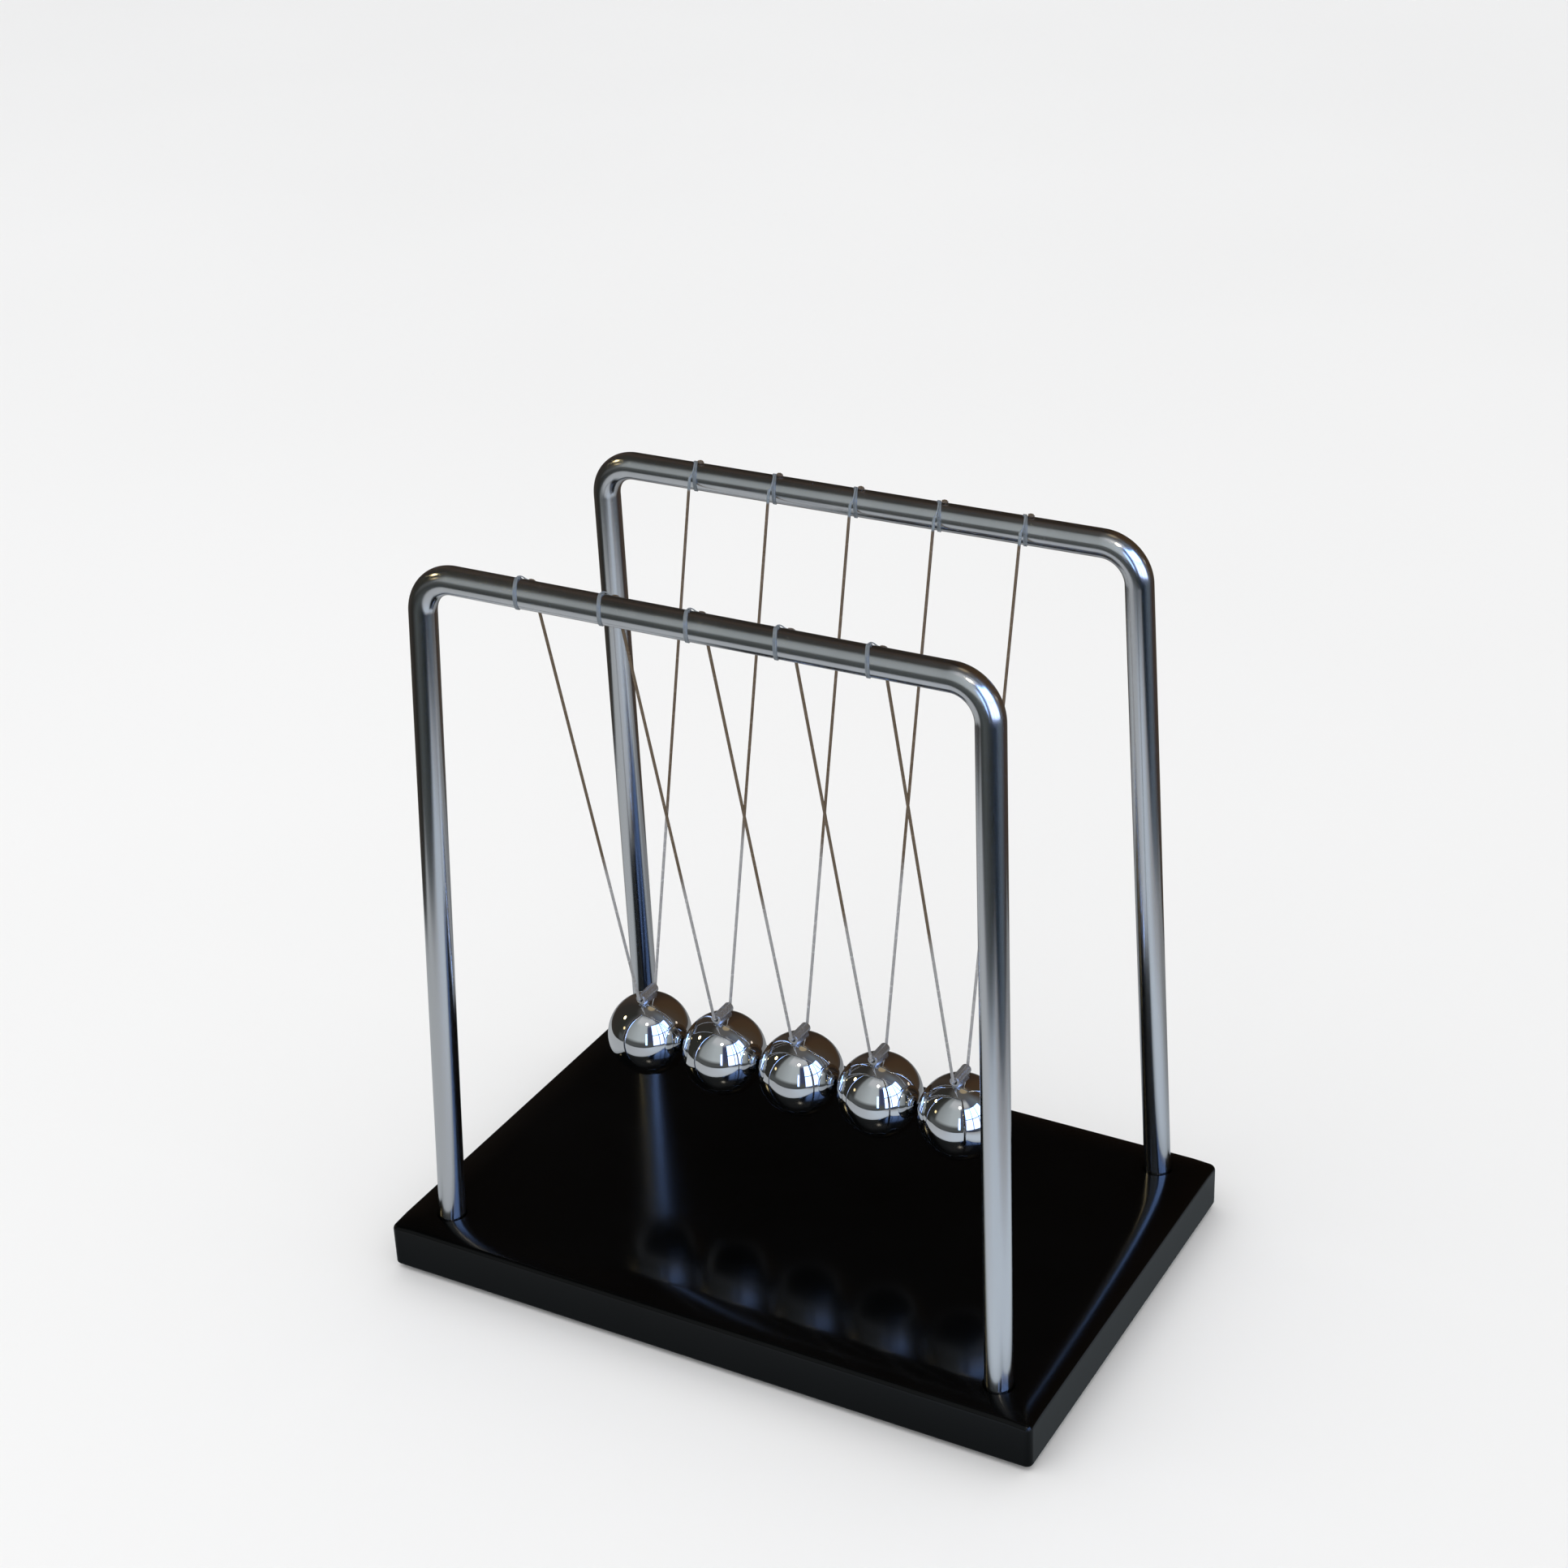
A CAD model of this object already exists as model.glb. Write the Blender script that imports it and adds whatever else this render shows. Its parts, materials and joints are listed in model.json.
"""Newton's cradle: five chrome balls on nylon lines between two bent rod frames on a lacquered board.

All lengths are in metres. +X runs along the row of balls, +Z is up, and the pads stand on z = 0.
"""

import json
import math

import bmesh
import bpy
import numpy as np
from mathutils import Matrix, Vector
from mathutils.geometry import delaunay_2d_cdt

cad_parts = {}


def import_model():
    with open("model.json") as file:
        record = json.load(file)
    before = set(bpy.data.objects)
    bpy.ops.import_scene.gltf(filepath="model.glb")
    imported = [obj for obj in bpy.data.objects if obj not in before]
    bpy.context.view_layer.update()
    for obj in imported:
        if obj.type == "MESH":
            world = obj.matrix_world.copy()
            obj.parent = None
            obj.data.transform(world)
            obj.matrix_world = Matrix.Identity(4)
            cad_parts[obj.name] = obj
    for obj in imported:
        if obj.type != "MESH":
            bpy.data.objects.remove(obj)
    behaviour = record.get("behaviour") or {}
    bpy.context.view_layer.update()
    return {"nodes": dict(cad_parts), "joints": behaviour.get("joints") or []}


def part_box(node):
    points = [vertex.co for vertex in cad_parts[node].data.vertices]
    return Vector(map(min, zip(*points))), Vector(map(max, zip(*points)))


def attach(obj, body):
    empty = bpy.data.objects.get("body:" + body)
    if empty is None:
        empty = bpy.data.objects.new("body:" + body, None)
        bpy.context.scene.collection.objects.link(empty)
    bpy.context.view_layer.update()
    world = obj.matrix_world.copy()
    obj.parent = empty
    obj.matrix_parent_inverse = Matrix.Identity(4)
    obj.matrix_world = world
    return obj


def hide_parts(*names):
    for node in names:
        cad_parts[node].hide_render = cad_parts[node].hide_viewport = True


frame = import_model()

MM = 0.001
BALLS = range(1, 6)

# ---------------------------------------------------------------- sizes

# Rod frames, as the CAD has them
ROD_RADIUS = 3 * MM
FOOT_X, FOOT_Y = 67.5 * MM, 42.2 * MM  # leg centre on the board's top
BAR_X, BAR_Y = 63.1 * MM, 34.7 * MM  # where leg and bar lines would cross
BAR_RISE = 153 * MM  # bar centre over the board
BEND_RADIUS = 8 * MM
LEG_EMBED = 6 * MM
TAPPED_RADIUS, TAPPED_DEPTH = 1.52 * MM, 9 * MM
LEG_CHAMFER = 0.4 * MM
ROD_SIDES, BEND_STEPS = 72, 28

# Board
BOARD_LOW, BOARD_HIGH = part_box("base_board")
CROWN_BAND, CROWN_DROP = 8.5 * MM, 1.2 * MM
CROWN_RADIUS = (CROWN_BAND**2 + CROWN_DROP**2) / (2 * CROWN_DROP)
CORNER_RADIUS, CORNER_STEPS = 1.5 * MM, 8
RIM_SPACING = 4 * MM  # between points on the straight stretches of the outline
ARRIS, ARRIS_STEPS = 1.0 * MM, 7  # width of the rounded top edge
UNDER_EDGE, UNDER_STEPS = 0.5 * MM, 4  # radius of the bottom edge
SOCKET_RADIUS = ROD_RADIUS + 0.14 * MM
SOCKET_CHAMFER = 0.3 * MM
SCREW_HOLE_RADIUS = 1.7 * MM
COUNTERBORE_RADIUS = 4.1 * MM
WEB = 2.2 * MM  # board left between leg end and washer
HOLE_SIDES = 64

# Mesh of the board's top
BAND_LINES = 12  # across each crowned band
MIDDLE_LINES = {"x": 30, "y": 20}  # between the bands
FIRST_LINE = 0.6 * MM  # from the rounded top edge
MOUTH_MARGIN = 0.4 * MM  # kept clear round a socket's mouth
MOUTH_RINGS, MOUTH_RING_POINTS, MOUTH_RING_STEP = 3, 36, 0.7 * MM
MOUTH_SLIDES = 6  # rounds in which a mouth's point settles on the crown
ALL_TRIANGLES, MERGE = 0, 1e-9  # kind of triangulation, and distance within which points are one

# Balls, tubes and lines
BALL_LOW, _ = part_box("ball_3")
BALL_RADIUS = 9.525 * MM
BALL_Z = BALL_LOW.z + BALL_RADIUS
BALL_SUBDIVISIONS = 6
TUBE_LOW, TUBE_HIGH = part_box("hanger_tube_3")
TUBE_RADIUS = 1.15 * MM
TUBE_BORE = 0.55 * MM
TUBE_LIP, LIP_STEPS = 0.12 * MM, 4  # radius of each rounding at the mouths
TUBE_Z = (TUBE_LOW.z + TUBE_HIGH.z) / 2
TUBE_HALF = TUBE_HIGH.y
TUBE_SIDES = 40
GROOVE_RADIUS = TUBE_RADIUS + 0.02 * MM
LINE_RADIUS, LINE_SIDES = 0.325 * MM, 16
LINE_BEAD = 0.005 * MM  # how far the CAD's beads stand out of the line
LINE_BEND, LINE_BEND_STEPS = 0.6 * MM, 8
LINE_RINGS = (0.02, 0.5, 0.98, 1.0)  # shares of the straight stretch where the mesh has a ring
LINE_LOW, LINE_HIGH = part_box("line_3")
LINE_Z = LINE_LOW.z + LINE_RADIUS + LINE_BEAD
PIVOT_Y = LINE_HIGH.y - LINE_RADIUS - LINE_BEAD
PIVOT_Z = frame["joints"][0]["pos_m"][2]

# Solder between a tube and its ball
SOLDER_REACH, SOLDER_STEPS = 2.85 * MM, 26  # from the tube's middle to each end of the fillet
SOLDER_WIDTH, SOLDER_END = 1.4 * MM, 0.35 * MM  # half its width in the middle and at the ends
SOLDER_RIPPLE, SOLDER_WAVE = 0.05, 9  # share by which the width wavers, and radians of wave per reach
SOLDER_GRIP = (-18, -62)  # where it ends on the tube, in degrees from level, in the middle and at the ends
SOLDER_KNEE_OUT, SOLDER_KNEE_UP = 0.12 * MM, 0.25  # knee of its side: out from its top, share of its height
SOLDER_SIDE_POINTS = 8
SOLDER_TIP, TIP_TOP = 0.9, 0.9  # where its tips start, as a share of the reach, and their tops to their feet
SOLDER_IN_BALL, SOLDER_IN_TUBE = 0.35 * MM, 0.1 * MM  # depth of its hidden underside and top
UNDER_SHARE, OVER_SHARE = 0.6, 0.4  # widths of those, to the widths that show
SOLDER_BULGE = 0.08 * MM  # of its two ends

# Ties
TIE_RADIUS, TIE_SIDES = 0.13 * MM, 14  # the line, pulled thin by its turns
TIE_TURNS, TIE_PITCH, TIE_STEPS = 3, 0.27 * MM, 40  # steps are per turn
TIE_ASIDE = -0.7 * MM  # the turns' middle along the bar, from where the line comes in
TIE_LEAN = 1.25 * MM  # how far along +X a turn is on the front of the bar, and along -X on its back
STRAND_STEPS = 32
STRAND_SETTLE = 0.35  # share of the strand over which it comes down onto the turns and thins
KNOT_TURNS, KNOT_PITCH, KNOT_STEPS = 4, 0.3 * MM, 24  # steps are per turn
KNOT_COIL = {"front": 0.18 * MM, "rear": 0.34 * MM}  # radius of the coil's path at its thickest
KNOT_GAP = 0.08 * MM  # from the bar to the inside of the coil's path
KNOT_TURN = {"front": math.radians(40), "rear": math.pi / 2}  # round the bar, from its side by the balls
KNOT_SHIFT = {"front": 1.1 * MM, "rear": 0.6 * MM}  # along the bar

# Colours of the lines
LINE_SPLIT, SPLIT_FADE = 93 * MM, 4 * MM  # height where pale turns smoky, and half the change's width
MILK_FADE = 0.3 * MM  # half the width of the change to milky
OVER_ALL = 1.0  # a height over the whole object, for lines with no milky part

# Camera
CAMERA_PLACE = (0.26273, -0.45562, 0.38527)
CAMERA_AZIMUTH, CAMERA_ELEVATION, CAMERA_ROLL = (math.radians(a) for a in (30.076, 27.165, -2.54))
CAMERA_LENS, CAMERA_SENSOR = 65.02, 36  # in mm
CAMERA_CLIP = (0.01, 50)

# Floor, and the card that gloss sees in place of it
FLOOR_HALF, FLOOR_Z = 6, -0.1 * MM
CARD_LOW, CARD_HIGH, CARD_Z = (-0.245, -0.265), (0.235, 0.175), -0.2 * MM
CARD_FADE = 20 * MM  # width of the fade to dark at its edges; at the front edge it is three times that
CARD_SHADE = 28 * MM  # width of the darker band round the board
CARD_BEHIND = (0.02, 0.12)  # y over which the front's tones turn into the one behind

# Light overhead
SOFTBOX_PLACE, SOFTBOX_AIM = (-0.35, -0.5, 1.2), (0, 0, 0.05)
SOFTBOX_SIZE, SOFTBOX_POWER = 0.9, 2  # the power in watts

# Derived from those
BASE_TOP = BOARD_HIGH.z
BAR_Z = BASE_TOP + BAR_RISE
MILKY_FROM = BAR_Z - 1.4 * MM  # on the lines, where they come in beside the bars
LEAN = math.atan2(FOOT_Y - BAR_Y, BAR_RISE)
SLANT = BAR_RISE / math.cos(LEAN)
SPLAY = math.atan2(FOOT_X - BAR_X, SLANT)
BEND_TANGENT = BEND_RADIUS * (1 - math.sin(SPLAY)) / math.cos(SPLAY)
LEG_LENGTH = SLANT / math.cos(SPLAY) - BEND_TANGENT

X, Y, Z = np.eye(3)
BALL_X = {i: sum(corner.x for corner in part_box(f"hanger_tube_{i}")) / 2 for i in BALLS}


# ---------------------------------------------------------------- shells


class Shell:
    """A closed surface: its points, its faces, and the normal at each face corner."""

    def __init__(self):
        self.points, self.faces, self.normals = [], [], []

    def add(self, points):
        """Adds points and gives their numbers."""
        start = len(self.points)
        self.points.extend(np.asarray(points, float).reshape(-1, 3))
        return list(range(start, len(self.points)))

    def face(self, corners, normals):
        """Adds a face, wound so that it looks the way its normals point."""
        a, b, c = (self.points[k] for k in corners[:3])
        if np.cross(b - a, c - b) @ sum(normals) < 0:
            corners, normals = corners[::-1], normals[::-1]
        self.faces.append(list(corners))
        self.normals.append(list(normals))

    def strip(self, a, b, normals_a, normals_b):
        """Quads between two rings of the same length."""
        for k in range(len(a)):
            n = (k + 1) % len(a)
            normals = [normals_a[k], normals_a[n], normals_b[n], normals_b[k]]
            self.face([a[k], a[n], b[n], b[k]], normals)

    def cap(self, ring, tip, normal_ring, normal):
        """Triangles from a ring to a point in its middle."""
        (centre,) = self.add([tip])
        for k in range(len(ring)):
            n = (k + 1) % len(ring)
            self.face([ring[k], ring[n], centre], [normal_ring[k], normal_ring[n], normal])


SHARP_FROM = math.radians(40)  # angle between faces from which their edge is drawn sharp


def piece(name, shell, material, body, replaced=(), own_normals=True):
    """A Blender object of the shell, riding on a body of the frame.

    Its normals are the shell's own ones, or are worked out from its faces and the angles between them.
    """
    mesh = bpy.data.meshes.new(name)
    mesh.from_pydata([tuple(p) for p in shell.points], [], shell.faces)
    mesh.update()
    mesh.shade_smooth()
    if own_normals:
        mesh.normals_split_custom_set([tuple(n) for corner in shell.normals for n in corner])
    else:
        outward = bmesh.new()
        outward.from_mesh(mesh)
        bmesh.ops.recalc_face_normals(outward, faces=outward.faces)
        outward.to_mesh(mesh)
        outward.free()
        mesh.set_sharp_from_angle(angle=SHARP_FROM)
    mesh.materials.append(material)
    made = bpy.data.objects.new(name, mesh)
    bpy.context.scene.collection.objects.link(made)
    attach(made, body)
    if replaced:
        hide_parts(*replaced)


def unit(v):
    return np.asarray(v, float) / np.linalg.norm(v)


class Station:
    """One ring of a tube.

    Its normals are tilted from straight out, at 0, towards the tube's direction, at a quarter turn. The
    surface before the ring and the surface after it may have tilts of their own.
    """

    def __init__(self, centre, direction, side, radius, before=0.0, after=None):
        self.centre = np.asarray(centre, float)
        self.direction = unit(direction)
        self.side = unit(side)
        self.radius = radius
        self.before = before
        self.after = before if after is None else after

    def spokes(self, sides):
        turn = np.linspace(0, 2 * math.pi, sides, endpoint=False)
        up = np.cross(self.direction, self.side)
        return np.outer(np.cos(turn), self.side) + np.outer(np.sin(turn), up)

    def normals(self, spokes, tilt):
        return math.cos(tilt) * spokes + math.sin(tilt) * self.direction


def loft(shell, stations, sides, closed=False):
    """A tube through the stations, with its ends closed or its last ring joined to its first."""
    rings = []
    for s in stations:
        spokes = s.spokes(sides)
        rings.append((shell.add(s.centre + s.radius * spokes), spokes))
    pairs = list(zip(range(len(rings) - 1), range(1, len(rings))))
    if closed:
        pairs.append((len(rings) - 1, 0))
    for a, b in pairs:
        shell.strip(
            rings[a][0],
            rings[b][0],
            stations[a].normals(rings[a][1], stations[a].after),
            stations[b].normals(rings[b][1], stations[b].before),
        )
    if closed:
        return
    for k, sign in ((0, -1), (-1, 1)):
        s = stations[k]
        tilt = s.before if k == 0 else s.after
        shell.cap(rings[k][0], s.centre, s.normals(rings[k][1], tilt), sign * s.direction)


def round_end(centre, direction, side, radius, sign, steps=6):
    """Stations of a half ball on the end of a tube, from the tube outwards."""
    last = 0.97 * math.pi / 2  # just short of the tip, which the tube's cap closes
    made = []
    for k in range(1, steps + 1):
        tilt = last * k / steps
        place = centre + sign * radius * math.sin(tilt) * direction
        made.append(Station(place, direction, side, radius * math.cos(tilt), sign * tilt))
    return made


def cord(shell, path, side_of, radii, sides):
    """A round-ended cord along (centre, direction) pairs, with a radius at each."""
    body = [Station(c, d, side_of(c, d), r) for (c, d), r in zip(path, radii)]
    first, last = body[0], body[-1]
    head = round_end(first.centre, first.direction, first.side, first.radius, -1)[::-1]
    tail = round_end(last.centre, last.direction, last.side, last.radius, 1)
    loft(shell, head + body + tail, sides)


def wind(shell, places, radii, centre_of):
    """A cord through places that go round a centre line. centre_of gives the point of it beside a place."""
    path = []
    for k, p in enumerate(places):
        ahead, behind = places[min(k + 1, len(places) - 1)], places[max(k - 1, 0)]
        path.append((p, unit(ahead - behind)))

    def side(p, d):
        out = p - centre_of(p)
        return out - (out @ d) * d

    cord(shell, path, side, radii, TIE_SIDES)


# ---------------------------------------------------------------- materials

NOISE_LOW, NOISE_HIGH = 0.3, 0.7  # nearly all of a noise's values lie between these


def nodes_of(name):
    """A new material, its node tree and its shader."""
    material = bpy.data.materials.new(name)
    material.use_nodes = True
    tree = material.node_tree
    return material, tree, tree.nodes["Principled BSDF"]


def link(tree, a, b):
    tree.links.new(a, b)


def own_place(tree):
    """The socket of a point's place in its object's own space."""
    return tree.nodes.new("ShaderNodeTexCoord").outputs["Object"]


def split(tree, source):
    """The x, y and z sockets of a vector socket."""
    node = tree.nodes.new("ShaderNodeSeparateXYZ")
    link(tree, source, node.inputs["Vector"])
    return node.outputs


def noise(tree, scale, detail=3.0, stretch=(1, 1, 1)):
    """Noise in the object's own space, with a scale in cycles per metre. Gives its output socket."""
    mapping = tree.nodes.new("ShaderNodeMapping")
    mapping.inputs["Scale"].default_value = stretch
    texture = tree.nodes.new("ShaderNodeTexNoise")
    texture.inputs["Scale"].default_value = scale
    texture.inputs["Detail"].default_value = detail
    link(tree, own_place(tree), mapping.inputs["Vector"])
    link(tree, mapping.outputs["Vector"], texture.inputs["Vector"])
    return texture.outputs["Fac"]


def spread(tree, source, low, high, start=NOISE_LOW, end=NOISE_HIGH):
    """Maps a socket's range from start to end onto low to high."""
    node = tree.nodes.new("ShaderNodeMapRange")
    node.inputs["From Min"].default_value = start
    node.inputs["From Max"].default_value = end
    node.inputs["To Min"].default_value = low
    node.inputs["To Max"].default_value = high
    link(tree, source, node.inputs["Value"])
    return node.outputs["Result"]


def ramp(tree, source, stops):
    """Colours of a 0 to 1 socket, from (place, colour) stops."""
    node = tree.nodes.new("ShaderNodeValToRGB")
    elements = node.color_ramp.elements
    for k, (place, colour) in enumerate(stops):
        e = elements[k] if k < 2 else elements.new(place)  # a new ramp has two stops
        e.position, e.color = place, (*colour, 1)
    link(tree, source, node.inputs["Fac"])
    return node.outputs["Color"]


def mottled(tree, source, low, high):
    """A colour between two, by a noise."""
    return ramp(tree, source, [(NOISE_LOW, low), (NOISE_HIGH, high)])


def smooth(tree, source, start, end):
    """Turns a socket into a mask that rises gently from 0 at start to 1 at end."""
    node = tree.nodes.new("ShaderNodeMapRange")
    node.interpolation_type = "SMOOTHSTEP"
    node.inputs["From Min"].default_value = start
    node.inputs["From Max"].default_value = end
    link(tree, source, node.inputs["Value"])
    return node.outputs["Result"]


def mix(tree, mask, a, b):
    """Colour a where the mask is 0 and b where it is 1."""
    node = tree.nodes.new("ShaderNodeMix")
    node.data_type = "RGBA"
    link(tree, mask, node.inputs["Factor"])
    for socket, value in ((node.inputs[6], a), (node.inputs[7], b)):
        if isinstance(value, tuple):
            socket.default_value = (*value, 1)
        else:
            link(tree, value, socket)
    return node.outputs[2]


def calc(tree, kind, *inputs):
    """A math node on numbers or sockets. Gives its output socket."""
    node = tree.nodes.new("ShaderNodeMath")
    node.operation = kind
    for socket, value in zip(node.inputs, inputs):
        if isinstance(value, (int, float)):
            socket.default_value = value
        else:
            link(tree, value, socket)
    return node.outputs[0]


def finish(tree, bsdf, colour, roughness):
    """Links a colour and a roughness to the shader."""
    link(tree, colour, bsdf.inputs["Base Color"])
    link(tree, roughness, bsdf.inputs["Roughness"])


def bump(tree, bsdf, source, height):
    """Relief of a given height over the shader's normal."""
    node = tree.nodes.new("ShaderNodeBump")
    node.inputs["Distance"].default_value = height
    link(tree, source, node.inputs["Height"])
    link(tree, node.outputs["Normal"], bsdf.inputs["Normal"])


def chrome(name, rough_low, rough_high, stretch):
    """Polished chrome plate with faint handling marks, drawn out along an axis whose stretch is small."""
    material, tree, bsdf = nodes_of(name)
    bsdf.inputs["Metallic"].default_value = 1.0
    marks = noise(tree, 90, 5.0, stretch)
    colour = mottled(tree, marks, (0.70, 0.715, 0.735), (0.80, 0.81, 0.82))
    finish(tree, bsdf, colour, spread(tree, marks, rough_low, rough_high))
    bump(tree, bsdf, noise(tree, 700, 2.0, stretch), 0.003 * MM)
    return material


def lacquer():
    """Black gloss lacquer: near black, with soft reflections and a trace of orange peel."""
    material, tree, bsdf = nodes_of("black_lacquer")
    colour = mottled(tree, noise(tree, 40, 4.0), (0.0004, 0.0005, 0.0006), (0.0010, 0.0012, 0.0014))
    finish(tree, bsdf, colour, spread(tree, noise(tree, 55, 4.0), 0.12, 0.16))
    bsdf.inputs["IOR"].default_value = 1.33
    bump(tree, bsdf, noise(tree, 420, 2.0), 0.004 * MM)
    return material


def nylon(name, milky_from):
    """Clear monofilament: pale low down, smoky higher up and milky over a given height."""
    material, tree, bsdf = nodes_of(name)
    height = split(tree, own_place(tree))["Z"]
    smoky_part = smooth(tree, height, LINE_SPLIT - SPLIT_FADE, LINE_SPLIT + SPLIT_FADE)
    milky_part = smooth(tree, height, milky_from - MILK_FADE, milky_from + MILK_FADE)
    clouds = noise(tree, 900)
    pale = mottled(tree, clouds, (0.37, 0.375, 0.385), (0.46, 0.465, 0.475))
    smoky = mottled(tree, clouds, (0.125, 0.088, 0.054), (0.165, 0.120, 0.076))
    milky = mottled(tree, clouds, (0.20, 0.24, 0.27), (0.26, 0.30, 0.34))
    colour = mix(tree, milky_part, mix(tree, smoky_part, pale, smoky), milky)
    finish(tree, bsdf, colour, spread(tree, clouds, 0.18, 0.3))
    bsdf.inputs["IOR"].default_value = 1.53
    bsdf.inputs["Transmission Weight"].default_value = 0.15
    return material


def tie_nylon():
    """The same line in tight turns: milky blue-white over the chrome."""
    material, tree, bsdf = nodes_of("wound_nylon")
    clouds = noise(tree, 1200)
    colour = mottled(tree, clouds, (0.36, 0.41, 0.45), (0.46, 0.51, 0.55))
    finish(tree, bsdf, colour, spread(tree, clouds, 0.15, 0.25))
    bsdf.inputs["IOR"].default_value = 1.45
    bsdf.inputs["Transmission Weight"].default_value = 0.55
    return material


def metal(name, colours, roughness, scale, height, metallic=1.0):
    """Satin or plated metal, mottled between two colours and two roughnesses."""
    material, tree, bsdf = nodes_of(name)
    bsdf.inputs["Metallic"].default_value = metallic
    patches = noise(tree, scale, 4.0)
    finish(tree, bsdf, mottled(tree, patches, *colours), spread(tree, patches, *roughness))
    bump(tree, bsdf, noise(tree, 2.5 * scale), height)
    return material


def rubber():
    """Black rubber with a fine grain."""
    material, tree, bsdf = nodes_of("black_rubber")
    grain = noise(tree, 1500, 4.0)
    colour = mottled(tree, grain, (0.012, 0.012, 0.013), (0.03, 0.03, 0.032))
    finish(tree, bsdf, colour, spread(tree, grain, 0.65, 0.85))
    bump(tree, bsdf, grain, 0.03 * MM)
    return material


# ---------------------------------------------------------------- board


def crown_run(value, half):
    """How far a coordinate is inside the crowned band, with its sign."""
    return math.copysign(max(0.0, abs(value) - (half - CROWN_BAND)), value)


def board_top(x, y):
    """Height of the board's top and its normal."""
    falls, slopes = [], []
    for value, half in ((x, BOARD_HIGH.x), (y, BOARD_HIGH.y)):
        run = crown_run(value, half)
        rest = math.sqrt(CROWN_RADIUS**2 - run**2)
        falls.append(CROWN_RADIUS - rest)
        slopes.append(run / rest)
    fall = math.hypot(*falls)
    if fall == 0:
        return BASE_TOP, Z
    gradient = [-f * s / fall for f, s in zip(falls, slopes)]
    return BASE_TOP - fall, unit((-gradient[0], -gradient[1], 1))


def board_under(x, y):
    """Height of the board's flat underside and its normal."""
    return BOARD_LOW.z, -Z


def outline():
    """Points and outward directions of the board's outline, anticlockwise."""
    made = []
    inner_x, inner_y = BOARD_HIGH.x - CORNER_RADIUS, BOARD_HIGH.y - CORNER_RADIUS
    corners = [
        (inner_x, -inner_y, -90),
        (inner_x, inner_y, 0),
        (-inner_x, inner_y, 90),
        (-inner_x, -inner_y, 180),
    ]
    for k, (cx, cy, start) in enumerate(corners):
        for step in range(CORNER_STEPS + 1):
            turn = math.radians(start + 90 * step / CORNER_STEPS)
            out = np.array([math.cos(turn), math.sin(turn)])
            made.append((np.array([cx, cy]) + CORNER_RADIUS * out, out))
        last, out = made[-1]
        nx, ny, _ = corners[(k + 1) % 4]
        target = np.array([nx, ny]) + CORNER_RADIUS * out
        count = int(np.linalg.norm(target - last) / RIM_SPACING)
        made.extend((last + (target - last) * n / count, out) for n in range(1, count))
    return made


def leg_axes():
    """Foot point, direction and two cross directions of each leg."""
    for front in (-1, 1):
        for right in (-1, 1):
            foot = np.array([right * FOOT_X, front * FOOT_Y, BASE_TOP])
            in_plane = np.array([0, -front * math.sin(LEAN), math.cos(LEAN)])
            along = unit(math.cos(SPLAY) * in_plane - right * math.sin(SPLAY) * X)
            side = unit(np.cross(Y, along))
            yield foot, along, side, np.cross(along, side)


def fill(shell, loops, extra, height_and_normal):
    """Triangles of a face inside its first loop, outside its other loops and through the extra points."""
    coords, edges, owners = [], [], []
    for loop in loops:
        start = len(coords)
        for k, index in enumerate(loop):
            coords.append(Vector(shell.points[index][:2]))
            owners.append(index)
            edges.append((start + k, start + (k + 1) % len(loop)))
    coords.extend(Vector(p) for p in extra)
    owners.extend([None] * len(extra))
    points, _, triangles, origins, _, _ = delaunay_2d_cdt(coords, edges, [], ALL_TRIANGLES, MERGE)
    indices = []
    for point, origin in zip(points, origins):
        owner = next((owners[o] for o in origin if owners[o] is not None), None)
        if owner is None:
            height, _ = height_and_normal(point.x, point.y)
            (owner,) = shell.add([(point.x, point.y, height)])
        indices.append(owner)
    holes = [set(loop) for loop in loops[1:]]
    for triangle in triangles:
        corners = [indices[i] for i in triangle]
        if any(hole.issuperset(corners) for hole in holes):
            continue  # only a triangle in a hole has all its corners on that hole's edge
        normals = [height_and_normal(*shell.points[i][:2])[1] for i in corners]
        shell.face(corners, normals)


def crown_grid(mouths):
    """Points between the board's outline and the socket mouths, close together in the crowned bands."""
    spans = {}
    for name, half in (("x", BOARD_HIGH.x), ("y", BOARD_HIGH.y)):
        band = np.linspace(half - ARRIS - FIRST_LINE, half - CROWN_BAND, BAND_LINES)
        middle = np.linspace(-(half - CROWN_BAND), half - CROWN_BAND, MIDDLE_LINES[name])
        spans[name] = np.concatenate([-band[:-1], middle, band[:-1]])
    holes = [np.array(mouth).mean(0)[:2] for mouth in mouths]
    reach = SOCKET_RADIUS + SOCKET_CHAMFER + MOUTH_MARGIN
    keep = []
    for x in spans["x"]:
        for y in spans["y"]:
            if all(math.hypot(x - h[0], y - h[1]) > reach for h in holes):
                keep.append((x, y))
    for h in holes:
        for ring in range(1, MOUTH_RINGS + 1):
            radius = reach + ring * MOUTH_RING_STEP
            for k in range(MOUTH_RING_POINTS):
                turn = 2 * math.pi * (k + ring / 2) / MOUTH_RING_POINTS
                x, y = h[0] + radius * math.cos(turn), h[1] + radius * math.sin(turn)
                if abs(x) < BOARD_HIGH.x - 2 * ARRIS and abs(y) < BOARD_HIGH.y - 2 * ARRIS:
                    keep.append((x, y))
    return keep


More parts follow.
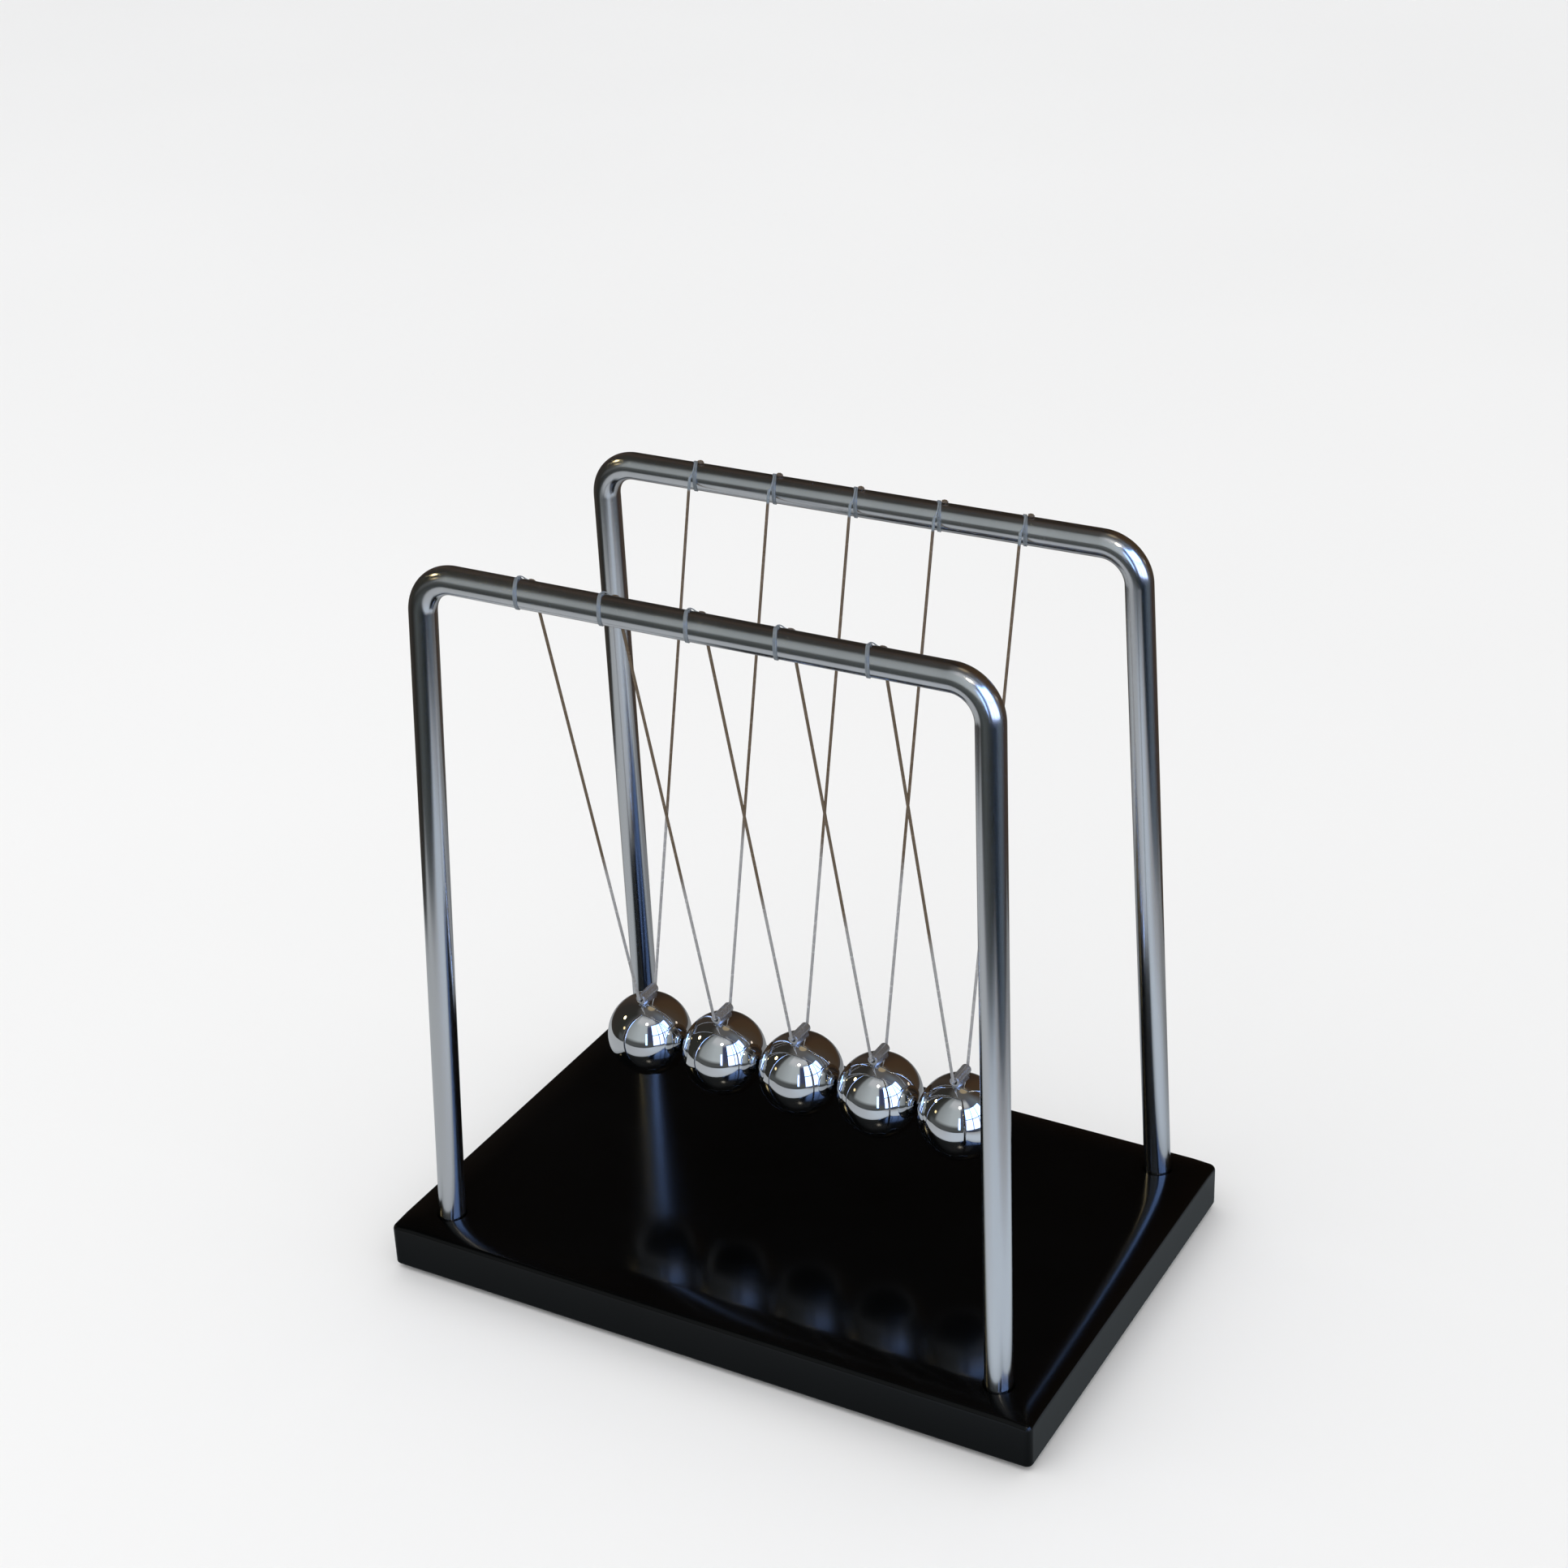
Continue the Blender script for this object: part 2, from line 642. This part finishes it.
def board_sides(shell):
    """The board's sides with their rounded edges. Gives the top ring and the bottom ring."""
    rim = outline()

    # Rounded arris from the crown down to the side face
    top_points, top_normals, arcs = [], [], []
    for point, out in rim:
        start = point - ARRIS * out
        height, normal = board_top(*start)
        slope = math.atan2(normal[:2] @ out, normal[2])
        top_points.append((*start, height))
        top_normals.append(normal)
        arcs.append((start, out, height, slope, ARRIS / (1 - math.sin(slope))))
    rings, ring_normals = [shell.add(top_points)], [top_normals]
    for k in range(1, ARRIS_STEPS + 1):
        points, normals = [], []
        for start, out, height, slope, radius in arcs:
            turn = slope + (math.pi / 2 - slope) * k / ARRIS_STEPS
            across = radius * (math.sin(turn) - math.sin(slope))
            down = radius * (math.cos(slope) - math.cos(turn))
            points.append((*(start + across * out), height - down))
            normals.append(math.cos(turn) * Z + math.sin(turn) * np.array([*out, 0]))
        rings.append(shell.add(points))
        ring_normals.append(normals)

    # Side face and rounded bottom edge
    for k in range(UNDER_STEPS + 1):
        turn = math.pi / 2 * k / UNDER_STEPS
        inset = UNDER_EDGE * (1 - math.cos(turn))
        z = BOARD_LOW.z + UNDER_EDGE * (1 - math.sin(turn))
        rings.append(shell.add([(*(p - inset * out), z) for p, out in rim]))
        ring_normals.append([math.cos(turn) * np.array([*out, 0]) - math.sin(turn) * Z for _, out in rim])
    for k in range(len(rings) - 1):
        shell.strip(rings[k], rings[k + 1], ring_normals[k], ring_normals[k + 1])
    return rings[0], rings[-1]


def leg_hole(shell, foot, along, side, up):
    """Stepped hole for a leg and its screw. Gives the rings of its mouth on top and of its counterbore."""
    turns = np.linspace(0, 2 * math.pi, HOLE_SIDES, endpoint=False)
    spokes = [math.cos(t) * side + math.sin(t) * up for t in turns]

    def ring(radius, run):
        return shell.add([foot + radius * s + run * along for s in spokes])

    # The mouth follows the crown, so each of its points is slid along the hole onto the board's top
    mouth, throat = [], []
    for s in spokes:
        point = foot + (SOCKET_RADIUS + SOCKET_CHAMFER) * s
        for _ in range(MOUTH_SLIDES):
            point = point + along * (board_top(point[0], point[1])[0] - point[2]) / along[2]
        mouth.append(point)
        throat.append(foot + SOCKET_RADIUS * s + ((point - foot) @ along - SOCKET_CHAMFER) * along)
    mouth, throat = shell.add(mouth), shell.add(throat)
    bevel = [unit(along - s) for s in spokes]
    inward = [-s for s in spokes]
    down, out = [-along] * HOLE_SIDES, [along] * HOLE_SIDES
    bore_end = -LEG_EMBED - WEB
    socket_floor, screw_top = ring(SOCKET_RADIUS, -LEG_EMBED), ring(SCREW_HOLE_RADIUS, -LEG_EMBED)
    screw_bottom, bore_top = ring(SCREW_HOLE_RADIUS, bore_end), ring(COUNTERBORE_RADIUS, bore_end)
    bore = [foot + COUNTERBORE_RADIUS * s for s in spokes]
    bore_bottom = shell.add([p + along * (BOARD_LOW.z - p[2]) / along[2] for p in bore])
    shell.strip(throat, mouth, bevel, bevel)
    shell.strip(socket_floor, throat, inward, inward)
    shell.strip(screw_top, socket_floor, out, out)
    shell.strip(screw_bottom, screw_top, inward, inward)
    shell.strip(bore_top, screw_bottom, down, down)
    shell.strip(bore_bottom, bore_top, inward, inward)
    return mouth, bore_bottom


def base_board(material):
    """The board: its sides, its stepped holes, and its top and underside round them."""
    shell = Shell()
    top, bottom = board_sides(shell)
    mouths, bores = zip(*(leg_hole(shell, *axis) for axis in leg_axes()))
    grid = crown_grid([[shell.points[i] for i in mouth] for mouth in mouths])
    fill(shell, [top, *mouths], grid, board_top)
    fill(shell, [bottom, *bores], [], board_under)
    piece("lacquered_board", shell, material, "stand", ["base_board"])


# ---------------------------------------------------------------- rod frames


def rod_frame(name, front, material):
    """One rod with two bends. front is -1 for the front frame and 1 for the rear one."""
    shell = Shell()
    rise = np.array([0, -front * math.sin(LEAN), math.cos(LEAN)])
    foot_line = np.array([0, front * FOOT_Y, BASE_TOP])
    normal = np.cross(rise, X)

    def at(x, height):
        return foot_line + x * X + height * rise

    def leg(right):
        """Stations of one leg from its tapped hole up to the bend."""
        up = unit(math.cos(SPLAY) * rise - right * math.sin(SPLAY) * X)
        end = at(right * FOOT_X, 0) - LEG_EMBED * up
        flat = -math.pi / 2  # tilt of the end face; the hole's own normals point inwards, at half a turn
        return [
            Station(end + TAPPED_DEPTH * up, up, normal, TAPPED_RADIUS, math.pi, math.pi),
            Station(end, up, normal, TAPPED_RADIUS, math.pi, flat),
            Station(end, up, normal, ROD_RADIUS - LEG_CHAMFER, flat, flat / 2),
            Station(end + LEG_CHAMFER * up, up, normal, ROD_RADIUS, flat / 2, 0),
            Station(end + LEG_LENGTH * up, up, normal, ROD_RADIUS),
        ]

    def bend(right):
        """Stations of one bend from its leg to the bar."""
        centre = at(right * (BAR_X - BEND_TANGENT), SLANT - BEND_RADIUS)
        made = []
        for k in range(BEND_STEPS + 1):
            turn = SPLAY + (math.pi / 2 - SPLAY) * k / BEND_STEPS
            out = math.cos(turn) * right * X + math.sin(turn) * rise
            along = -math.sin(turn) * right * X + math.cos(turn) * rise
            made.append(Station(centre + BEND_RADIUS * out, along, normal, ROD_RADIUS))
        return made

    def reversed_run(stations):
        """The same stations the other way round, for the half of the rod that comes down again."""
        return [
            Station(s.centre, -s.direction, normal, s.radius, -s.after, -s.before)
            for s in stations[::-1]
        ]

    loft(shell, leg(-1) + bend(-1) + reversed_run(leg(1) + bend(1)), ROD_SIDES)
    piece(f"{name}_rod", shell, material, "stand", [f"{name}_frame"])


# ---------------------------------------------------------------- pendulums


def ball(i, material):
    """A chrome ball with the groove that its hanger tube lies in."""
    mesh = bmesh.new()
    bmesh.ops.create_icosphere(mesh, subdivisions=BALL_SUBDIVISIONS, radius=BALL_RADIUS)
    shell = Shell()
    height = TUBE_Z - BALL_Z
    normals = []
    for v in mesh.verts:
        p = np.array(v.co)
        normal = unit(p)
        across = np.array([p[0], 0, p[2] - height])
        if np.linalg.norm(across) < GROOVE_RADIUS:
            p = np.array([p[0], p[1], height - math.sqrt(GROOVE_RADIUS**2 - p[0] ** 2)])
            normal = unit([-p[0], 0, height - p[2]])
        normals.append(normal)
        shell.add([p + BALL_X[i] * X + BALL_Z * Z])
    for f in mesh.faces:
        corners = [v.index for v in f.verts]
        shell.face(corners, [normals[k] for k in corners])
    mesh.free()
    piece(f"chrome_ball_{i}", shell, material, f"pendulum_{i}", [f"ball_{i}"])


def hanger_tube(i, material):
    """A short tube with rounded lips at both ends of its bore."""
    shell = Shell()
    start = TUBE_HALF - TUBE_LIP
    quarter = [math.pi / 2 * k / LIP_STEPS for k in range(LIP_STEPS + 1)]

    def lip(end):
        """Stations of the lip at one end, from the tube's outside into its bore."""
        made = []
        for q in quarter:
            made.append((start + TUBE_LIP * math.sin(q), TUBE_RADIUS - TUBE_LIP * (1 - math.cos(q)), q))
        for q in quarter:
            y, radius = start + TUBE_LIP * math.cos(q), TUBE_BORE + TUBE_LIP * (1 - math.sin(q))
            made.append((y, radius, math.pi / 2 + q))
        return [Station((BALL_X[i], end * y, TUBE_Z), Y, X, radius, end * tilt) for y, radius, tilt in made]

    loft(shell, lip(1) + lip(-1)[::-1], TUBE_SIDES, closed=True)
    piece(f"line_tube_{i}", shell, material, f"pendulum_{i}", [f"hanger_tube_{i}"])


def solder_profile(i, y):
    """The fillet's outline at a place along its tube: the right half upwards, then the left half down."""
    share = abs(y) / SOLDER_REACH
    width = SOLDER_END + (SOLDER_WIDTH - SOLDER_END) * math.sqrt(max(0.0, 1 - share**3))
    width *= 1 + SOLDER_RIPPLE * math.sin(SOLDER_WAVE * y / SOLDER_REACH + i)
    grip = math.radians(SOLDER_GRIP[0] + (SOLDER_GRIP[1] - SOLDER_GRIP[0]) * share**2)
    top = np.array([TUBE_RADIUS * math.cos(grip), TUBE_Z - BALL_Z + TUBE_RADIUS * math.sin(grip)])
    if share > SOLDER_TIP:
        top[0] = min(top[0], TIP_TOP * width)

    # A hollow curve from the foot on the ball to the top on the tube, between points hidden inside both
    foot = np.array([width, math.sqrt(BALL_RADIUS**2 - y**2 - width**2)])
    knee = np.array([top[0] + SOLDER_KNEE_OUT, foot[1] + SOLDER_KNEE_UP * (top[1] - foot[1])])
    shares = np.linspace(0, 1, SOLDER_SIDE_POINTS)
    side = [(1 - t) ** 2 * foot + 2 * t * (1 - t) * knee + t**2 * top for t in shares]
    under = np.array([UNDER_SHARE * width, foot[1] - SOLDER_IN_BALL])
    over = np.array([OVER_SHARE * top[0], top[1] - SOLDER_IN_TUBE])
    half = [under, *side, over]
    return half + [np.array([-p[0], p[1]]) for p in half[::-1]]


def solder(i, material):
    """The fillet of solder between a tube and its ball."""
    shell = Shell()
    rings = []
    for y in np.linspace(-SOLDER_REACH, SOLDER_REACH, SOLDER_STEPS + 1):
        rings.append(shell.add([(BALL_X[i] + p[0], y, BALL_Z + p[1]) for p in solder_profile(i, y)]))
    up = [Z] * len(rings[0])  # stands in for the normals, which are worked out from the faces
    for a, b in zip(rings, rings[1:]):
        shell.strip(a, b, up, up)
    for ring, sign in ((rings[0][::-1], -1), (rings[-1], 1)):
        middle = np.mean([shell.points[k] for k in ring], axis=0) + sign * SOLDER_BULGE * Y
        shell.cap(ring, middle, up, Z)
    piece(f"solder_{i}", shell, material, f"pendulum_{i}", own_normals=False)


def line_path():
    """Centre and direction along a line, from the front pivot through the tube to the rear one."""
    mouth = np.array([TUBE_HALF, LINE_Z + LINE_BEND])
    pivot = np.array([PIVOT_Y, PIVOT_Z])
    reach = pivot - mouth
    angle = math.atan2(reach[1], reach[0]) + math.asin(LINE_BEND / np.linalg.norm(reach))
    half = []
    for k in range(LINE_BEND_STEPS + 1):
        turn = angle * k / LINE_BEND_STEPS
        place = mouth + LINE_BEND * np.array([math.sin(turn), -math.cos(turn)])
        half.append((place, np.array([math.cos(turn), math.sin(turn)])))
    run = pivot - half[-1][0]
    half += [(half[-1][0] + run * share, unit(run)) for share in LINE_RINGS]
    rear = [(np.array([0, *p]), np.array([0, *d])) for p, d in half]
    front = [(p * (1, -1, 1), d * (1, 1, -1)) for p, d in rear[::-1]]
    return front + rear


def line(i, material):
    """A nylon line in one length, through its tube and up to both bars."""
    shell = Shell()
    path = [(p + BALL_X[i] * X, d) for p, d in line_path()]
    cord(shell, path, lambda p, d: X, [LINE_RADIUS] * len(path), LINE_SIDES)
    piece(f"nylon_line_{i}", shell, material, f"pendulum_{i}", [f"line_{i}"])


# ---------------------------------------------------------------- ties


def knot(i, name, middle, material):
    """A barrel knot: a short coil along the bar, thickest in its middle."""
    count = KNOT_STEPS * KNOT_TURNS
    coil = []
    for k in range(count + 1):
        turn = 2 * math.pi * KNOT_TURNS * k / count
        along = k / count - 0.5
        swell = KNOT_COIL[name] * (1 - 2 * along**2)
        place = middle + KNOT_PITCH * KNOT_TURNS * along * X
        coil.append(place + swell * (math.cos(turn) * Y + math.sin(turn) * Z))
    shell = Shell()
    wind(shell, coil, [TIE_RADIUS] * len(coil), lambda p: np.array([p[0], middle[1], middle[2]]))
    piece(f"{name}_knot_{i}", shell, material, "stand")


def tie(i, name, front, wound, knotted):
    """Turns round the bar with the strand from the line over them, and a barrel knot beside them."""
    axis = np.array([BALL_X[i], front * BAR_Y, BAR_Z])
    inner = -front  # the side of the bar that faces the balls

    def around(turn, radius, shift):
        """A point round the bar: turn 0 faces the balls and a quarter turn is the top."""
        return axis + shift * X + radius * (math.cos(turn) * inner * Y + math.sin(turn) * Z)

    def lean(turn):
        """Where the turns are along the bar: each is a slanting ring."""
        return TIE_ASIDE - TIE_LEAN * inner * math.cos(turn)

    def bar_centre(p):
        return np.array([p[0], axis[1], axis[2]])

    count = TIE_STEPS * TIE_TURNS
    turns = []
    for k in range(count + 1):
        turn = math.pi / 2 + 2 * math.pi * TIE_TURNS * k / count
        shift = TIE_PITCH * TIE_TURNS * (k / count - 0.5) + lean(turn)
        turns.append(around(turn, ROD_RADIUS + TIE_RADIUS, shift))
    band = Shell()
    wind(band, turns, [TIE_RADIUS] * len(turns), bar_centre)

    # Strand from the swing axis in to the turns and over them to the top, thinning on the way
    offset = np.array([PIVOT_Y - BAR_Y, PIVOT_Z - BAR_Z])
    start_turn, start_radius = math.atan2(offset[1], -offset[0]), np.linalg.norm(offset)
    rest_radius = ROD_RADIUS + 3 * TIE_RADIUS  # lying on the turns
    strand, radii = [], []
    for k in range(STRAND_STEPS + 1):
        share = k / STRAND_STEPS
        out = (1 - min(1.0, share / STRAND_SETTLE)) ** 2
        turn = start_turn + (math.pi / 2 - start_turn) * share
        strand.append(around(turn, rest_radius + (start_radius - rest_radius) * out, share * lean(turn)))
        radii.append(TIE_RADIUS + (LINE_RADIUS - TIE_RADIUS) * out)
    wind(band, strand, radii, bar_centre)
    piece(f"{name}_turns_{i}", band, wound, "stand", [f"{name}_tie_{i}"])

    rest = ROD_RADIUS + KNOT_COIL[name] + KNOT_GAP
    knot(i, name, around(KNOT_TURN[name], rest, KNOT_SHIFT[name]), knotted)


# ---------------------------------------------------------------- studio


def camera():
    """The camera, with its view's azimuth from the front, its elevation and its roll."""
    azimuth, elevation = CAMERA_AZIMUTH, CAMERA_ELEVATION
    forward = -np.array([
        math.sin(azimuth) * math.cos(elevation),
        -math.cos(azimuth) * math.cos(elevation),
        math.sin(elevation),
    ])
    right = unit(np.cross(forward, Z))
    down = np.cross(forward, right)
    c, s = math.cos(CAMERA_ROLL), math.sin(CAMERA_ROLL)
    right, down = c * right - s * down, s * right + c * down
    data = bpy.data.cameras.new("camera")
    data.lens, data.sensor_width = CAMERA_LENS, CAMERA_SENSOR
    data.clip_start, data.clip_end = CAMERA_CLIP
    made = bpy.data.objects.new("camera", data)
    made.matrix_world = Matrix.LocRotScale(
        Vector(CAMERA_PLACE),
        Matrix([right, -down, -forward]).transposed().to_quaternion(),
        None,
    )
    bpy.context.scene.collection.objects.link(made)
    bpy.context.scene.camera = made


def plane(name, low, high, z, material):
    """A level rectangle that belongs to the stage."""
    mesh = bpy.data.meshes.new(name)
    corners = [(low[0], low[1], z), (high[0], low[1], z), (high[0], high[1], z), (low[0], high[1], z)]
    mesh.from_pydata(corners, [], [(0, 1, 2, 3)])
    mesh.materials.append(material)
    made = bpy.data.objects.new(name, mesh)
    bpy.context.scene.collection.objects.link(made)
    return made


def floor():
    """Pale floor that gloss doesn't see."""
    material, tree, bsdf = nodes_of("pale_floor")
    colour = mottled(tree, noise(tree, 3, 2.0), (0.86, 0.86, 0.86), (0.88, 0.88, 0.88))
    link(tree, colour, bsdf.inputs["Base Color"])
    bsdf.inputs["Roughness"].default_value = 0.9
    bsdf.inputs["Specular IOR Level"].default_value = 0.1
    pale = plane("floor", (-FLOOR_HALF, -FLOOR_HALF), (FLOOR_HALF, FLOOR_HALF), FLOOR_Z, material)
    pale.visible_glossy = False


CARD_TONES = [  # x and colour, in front of the object
    (-0.235, (0.43, 0.45, 0.46)),
    (-0.08, (0.45, 0.47, 0.49)),
    (0.0, (0.49, 0.52, 0.56)),
    (0.06, (0.54, 0.60, 0.67)),
    (0.14, (0.53, 0.59, 0.66)),
    (0.19, (0.38, 0.39, 0.41)),
]
CARD_REAR_TONE = (0.24, 0.245, 0.25)
CARD_SHADE_TONE = (0.205, 0.230, 0.245)
CARD_EDGE_TONE = (0.03, 0.033, 0.038)


def grey_card():
    """The glowing card that only chrome, lacquer and other gloss sees, in place of the floor."""
    material, tree, _ = nodes_of("grey_card")
    tree.nodes.clear()
    x, y, _ = split(tree, own_place(tree))
    low, high = CARD_LOW, CARD_HIGH
    tones = [((at - low[0]) / (high[0] - low[0]), tone) for at, tone in CARD_TONES]
    surface = ramp(tree, spread(tree, x, 0, 1, low[0], high[0]), tones)
    surface = mix(tree, smooth(tree, y, *CARD_BEHIND), surface, CARD_REAR_TONE)
    beside = calc(
        tree,
        "MAXIMUM",
        calc(tree, "SUBTRACT", calc(tree, "ABSOLUTE", x), BOARD_HIGH.x),
        calc(tree, "SUBTRACT", calc(tree, "ABSOLUTE", y), BOARD_HIGH.y),
    )
    surface = mix(tree, smooth(tree, beside, CARD_SHADE, 0.0), surface, CARD_SHADE_TONE)
    for value, start, end in (
        (x, low[0] + CARD_FADE, low[0]),
        (x, high[0] - CARD_FADE, high[0]),
        (y, low[1] + 3 * CARD_FADE, low[1]),
        (y, high[1] - CARD_FADE, high[1]),
    ):
        surface = mix(tree, smooth(tree, value, start, end), surface, CARD_EDGE_TONE)
    glow = tree.nodes.new("ShaderNodeEmission")
    out = tree.nodes.new("ShaderNodeOutputMaterial")
    link(tree, surface, glow.inputs["Color"])
    link(tree, glow.outputs["Emission"], out.inputs["Surface"])
    card = plane("grey_card", low, high, CARD_Z, material)
    card.visible_camera = card.visible_diffuse = card.visible_shadow = False
    card.visible_transmission = False


# The room round the object, by azimuth (0 is the front and 90 the right) and elevation in degrees
WALLS = [
    (-180, (0.062, 0.036, 0.020)),
    (-150, (0.022, 0.018, 0.015)),
    (-132, (0.060, 0.045, 0.035)),
    (-110, (0.035, 0.030, 0.026)),
    (-60, (0.032, 0.033, 0.028)),
    (-47, (0.060, 0.060, 0.058)),
    (-40, (0.28, 0.30, 0.30)),
    (0, (0.46, 0.50, 0.51)),
    (23, (0.48, 0.52, 0.53)),
    (27, (0.055, 0.066, 0.125)),
    (38, (0.055, 0.066, 0.125)),
    (100, (0.16, 0.18, 0.20)),
    (130, (0.07, 0.05, 0.035)),
    (160, (0.065, 0.040, 0.022)),
    (180, (0.062, 0.036, 0.020)),
]
GROUND = [
    (-180, (0.075, 0.058, 0.045)),
    (-90, (0.045, 0.040, 0.035)),
    (-55, (0.022, 0.020, 0.017)),
    (-20, (0.075, 0.085, 0.085)),
    (12, (0.040, 0.044, 0.042)),
    (32, (0.014, 0.017, 0.018)),
    (58, (0.010, 0.016, 0.024)),
    (74, (0.060, 0.078, 0.100)),
    (95, (0.095, 0.120, 0.145)),
    (130, (0.050, 0.034, 0.028)),
    (180, (0.075, 0.058, 0.045)),
]
GROUND_BLEND = (-4, -14)  # elevations over which the walls turn into the ground
CEILING, CEILING_BLEND = (0.12, 0.115, 0.11), (58, 82)  # and over which they turn into the ceiling
SOFT_PANELS = [  # azimuths, elevations, softness of the edges and colour
    ((-22, 62), (50, 70), 7, (0.55, 0.56, 0.57)),  # light patch under the ceiling
    ((-60, 40), (-14, 4), 5, (0.085, 0.09, 0.09)),  # dim foot of the front wall
]
SIDE_PANE = ((19.5, 24), (-3, 27), 0.8, (1.6, 2.5, 4.8))  # in the same order
WINDOW_SOFT = 0.7
WINDOW_COLUMNS = [(40, 57), (59, 76), (78, 98)]
WINDOW_ROWS = [((-5, 21), (1.5, 1.9, 3.0)), ((23, 48), (1.8, 3.0, 6.2))]  # elevations and colour
LAMPS = [  # azimuth, elevation, radius and colour
    (22, 54, 3.0, (16.0, 14.5, 12.0)),
    (-74, 31, 3.2, (13.0, 10.5, 5.5)),
    (-52, 19, 3.0, (1.6, 1.25, 0.65)),
    (-179, 77, 8.0, (0.38, 0.30, 0.19)),
    (126, 17, 3.0, (1.2, 1.0, 0.8)),
]
LAMP_EDGE, LAMP_CORE = 1.25, 0.75  # shares of a lamp's radius where its glow starts and is full
LIGHT_ON_MATTE = (0.985, 0.985, 0.985)
BACKDROP = (0.83, 0.835, 0.845)  # as the far floor looks


def world():
    """Even pale light on matte surfaces, a plain backdrop for the eye, and a dim room for gloss."""
    made = bpy.data.worlds.new("studio")
    bpy.context.scene.world = made
    made.use_nodes = True
    made.cycles.sampling_method = "NONE"  # light sampling would show the room to matte surfaces
    tree = made.node_tree
    tree.nodes.clear()

    towards = tree.nodes.new("ShaderNodeTexCoord").outputs["Generated"]
    x, y, z = split(tree, towards)
    azimuth = calc(tree, "DEGREES", calc(tree, "ARCTAN2", x, calc(tree, "MULTIPLY", y, -1.0)))
    elevation = calc(tree, "DEGREES", calc(tree, "ARCSINE", z))
    share = spread(tree, azimuth, 0, 1, -180, 180)

    def by_azimuth(tones):
        return ramp(tree, share, [((az + 180) / 360, tone) for az, tone in tones])

    def panel(az, el, soft):
        """Mask of a soft-edged panel between two azimuths and two elevations."""
        mask = smooth(tree, azimuth, az[0] - soft, az[0] + soft)
        for side in (
            smooth(tree, azimuth, az[1] + soft, az[1] - soft),
            smooth(tree, elevation, el[0] - soft, el[0] + soft),
            smooth(tree, elevation, el[1] + soft, el[1] - soft),
        ):
            mask = calc(tree, "MULTIPLY", mask, side)
        return mask

    def lamp(az, el, radius):
        """Mask of a round lamp."""
        a, e = math.radians(az), math.radians(el)
        dot = tree.nodes.new("ShaderNodeVectorMath")
        dot.operation = "DOT_PRODUCT"
        link(tree, towards, dot.inputs[0])
        dot.inputs[1].default_value = (math.sin(a) * math.cos(e), -math.cos(a) * math.cos(e), math.sin(e))
        edge, core = (math.cos(math.radians(part * radius)) for part in (LAMP_EDGE, LAMP_CORE))
        return smooth(tree, dot.outputs["Value"], edge, core)

    room = mix(tree, smooth(tree, elevation, *CEILING_BLEND), by_azimuth(WALLS), CEILING)
    for az, el, soft, colour in SOFT_PANELS:
        room = mix(tree, panel(az, el, soft), room, colour)
    room = mix(tree, smooth(tree, elevation, *GROUND_BLEND), room, by_azimuth(GROUND))
    for az in WINDOW_COLUMNS:
        for el, colour in WINDOW_ROWS:
            room = mix(tree, panel(az, el, WINDOW_SOFT), room, colour)
    room = mix(tree, panel(*SIDE_PANE[:3]), room, SIDE_PANE[3])
    for az, el, radius, colour in LAMPS:
        room = mix(tree, lamp(az, el, radius), room, colour)

    rays = tree.nodes.new("ShaderNodeLightPath")
    room = mix(tree, rays.outputs["Is Diffuse Ray"], room, LIGHT_ON_MATTE)
    room = mix(tree, rays.outputs["Is Camera Ray"], room, BACKDROP)
    background = tree.nodes.new("ShaderNodeBackground")
    link(tree, room, background.inputs["Color"])
    out = tree.nodes.new("ShaderNodeOutputWorld")
    link(tree, background.outputs["Background"], out.inputs["Surface"])


def lights():
    """One broad soft light overhead, which gloss doesn't see."""
    data = bpy.data.lights.new("softbox", "AREA")
    data.shape, data.size = "DISK", SOFTBOX_SIZE
    data.energy = SOFTBOX_POWER
    made = bpy.data.objects.new("softbox", data)
    made.location = SOFTBOX_PLACE
    made.rotation_euler = (Vector(SOFTBOX_AIM) - made.location).to_track_quat("-Z", "Y").to_euler()
    made.visible_glossy = False
    made.visible_transmission = False
    bpy.context.scene.collection.objects.link(made)
    bpy.context.scene.view_settings.view_transform = "Standard"


# ---------------------------------------------------------------- the object


def dress(node, material):
    """A better material on a CAD node whose own shape is shown."""
    for slot in frame["nodes"][node].material_slots:
        slot.link = "OBJECT"
        slot.material = material


def build():
    """Every piece with its material."""
    rod = chrome("rod_chrome_plate", 0.16, 0.21, (1, 1, 0.1))
    mirror = chrome("ball_chrome_plate", 0.02, 0.045, (1, 1, 1))
    steel_greys = [(0.40, 0.40, 0.41), (0.52, 0.53, 0.55)]
    lead_greys = [(0.30, 0.30, 0.31), (0.40, 0.41, 0.43)]
    zinc_greys = [(0.52, 0.53, 0.55), (0.66, 0.67, 0.68)]
    satin = metal("tube_satin_steel", steel_greys, (0.20, 0.30), 300, 0.004 * MM, 0.78)
    lead = metal("grey_solder", lead_greys, (0.25, 0.40), 400, 0.015 * MM, 0.85)
    zinc = metal("zinc_plate", zinc_greys, (0.25, 0.4), 400, 0.01 * MM)
    line_nylon = nylon("nylon_monofilament", MILKY_FROM)
    knot_nylon = nylon("knot_nylon", OVER_ALL)
    wound = tie_nylon()

    base_board(lacquer())
    rod_frame("front", -1, rod)
    rod_frame("rear", 1, rod)
    dress("foot_pads", rubber())
    dress("frame_screws", zinc)
    dress("screw_washers", zinc)
    for i in BALLS:
        ball(i, mirror)
        hanger_tube(i, satin)
        solder(i, lead)
        line(i, line_nylon)
        tie(i, "front", -1, wound, knot_nylon)
        tie(i, "rear", 1, wound, knot_nylon)


camera()
build()
floor()
grey_card()
world()
lights()
